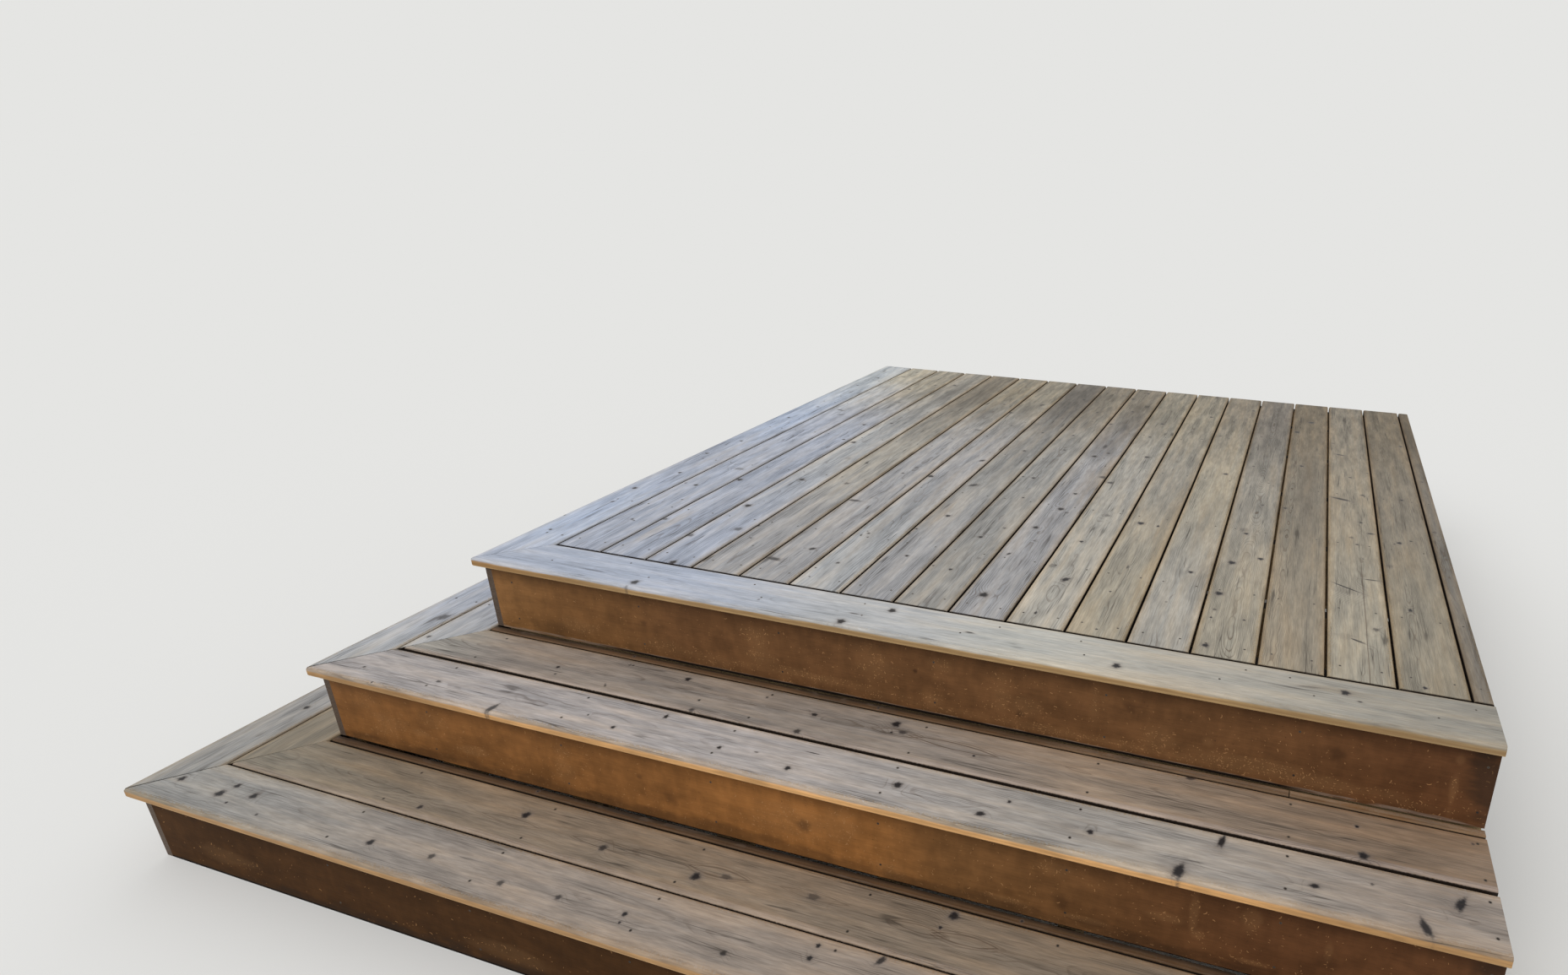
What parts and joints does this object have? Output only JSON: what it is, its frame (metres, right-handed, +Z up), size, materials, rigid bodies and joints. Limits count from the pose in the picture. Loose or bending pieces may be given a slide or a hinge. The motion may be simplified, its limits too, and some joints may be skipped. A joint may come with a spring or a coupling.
{
  "type": "wooden deck stairs",
  "caption": "Low timber deck with two broad mitred steps wrapping round its front and left side, on joists, notched stringers and posts.",
  "frame": {"origin": "ground level, under the middle of the whole plan, bottom step included", "axes": "+X to the right along the front steps, +Y back towards the house wall, +Z up"},
  "size_m": [3.009, 2.996, 0.63],
  "materials": {
    "deck_boards": "sanded softwood weathered grey in patches, small knots and screw heads",
    "deck_border": "sanded softwood, eased edges still brown with old stain",
    "treads": "sanded softwood weathered grey in patches, oval knots, brown edges",
    "filler_strips": "narrow weathered softwood strip",
    "risers": "softwood with worn orange-brown stain, pale scratches and chips",
    "framing": "sawn construction softwood"
  },
  "bodies": {
    "root": {"deck_board_01": "deck_boards", "deck_board_02": "deck_boards", "deck_board_03": "deck_boards", "deck_board_04": "deck_boards", "deck_board_05": "deck_boards", "deck_board_06": "deck_boards", "deck_board_07": "deck_boards", "deck_board_08": "deck_boards", "deck_board_09": "deck_boards", "deck_board_10": "deck_boards", "deck_board_11": "deck_boards", "deck_board_12": "deck_boards", "deck_board_13": "deck_boards", "deck_board_14": "deck_boards", "deck_board_15": "deck_boards", "deck_board_16": "deck_boards", "deck_board_ripped": "deck_boards", "deck_border_front": "deck_border", "deck_border_left": "deck_border", "middle_tread_front_inner": "treads", "middle_tread_front_outer": "treads", "middle_tread_left_inner": "treads", "middle_tread_left_outer": "treads", "bottom_tread_front_inner": "treads", "bottom_tread_front_outer": "treads", "bottom_tread_left_inner": "treads", "bottom_tread_left_outer": "treads", "middle_filler_strip": "filler_strips", "bottom_filler_strip": "filler_strips", "top_riser_front": "risers", "top_riser_left": "risers", "middle_riser_front": "risers", "middle_riser_left": "risers", "bottom_riser_front": "risers", "bottom_riser_left": "risers", "ledger_board": "framing", "rim_joist_front": "framing", "rim_joist_left": "framing", "rim_joist_right": "framing", "deck_joists": "framing", "header_front": "framing", "header_left": "framing", "stringers_front": "framing", "stringers_left": "framing", "hip_stringer": "framing", "post_front_left": "framing", "post_front_middle": "framing", "post_front_right": "framing", "post_left_middle": "framing", "post_left_back": "framing"}
  },
  "joints": []
}
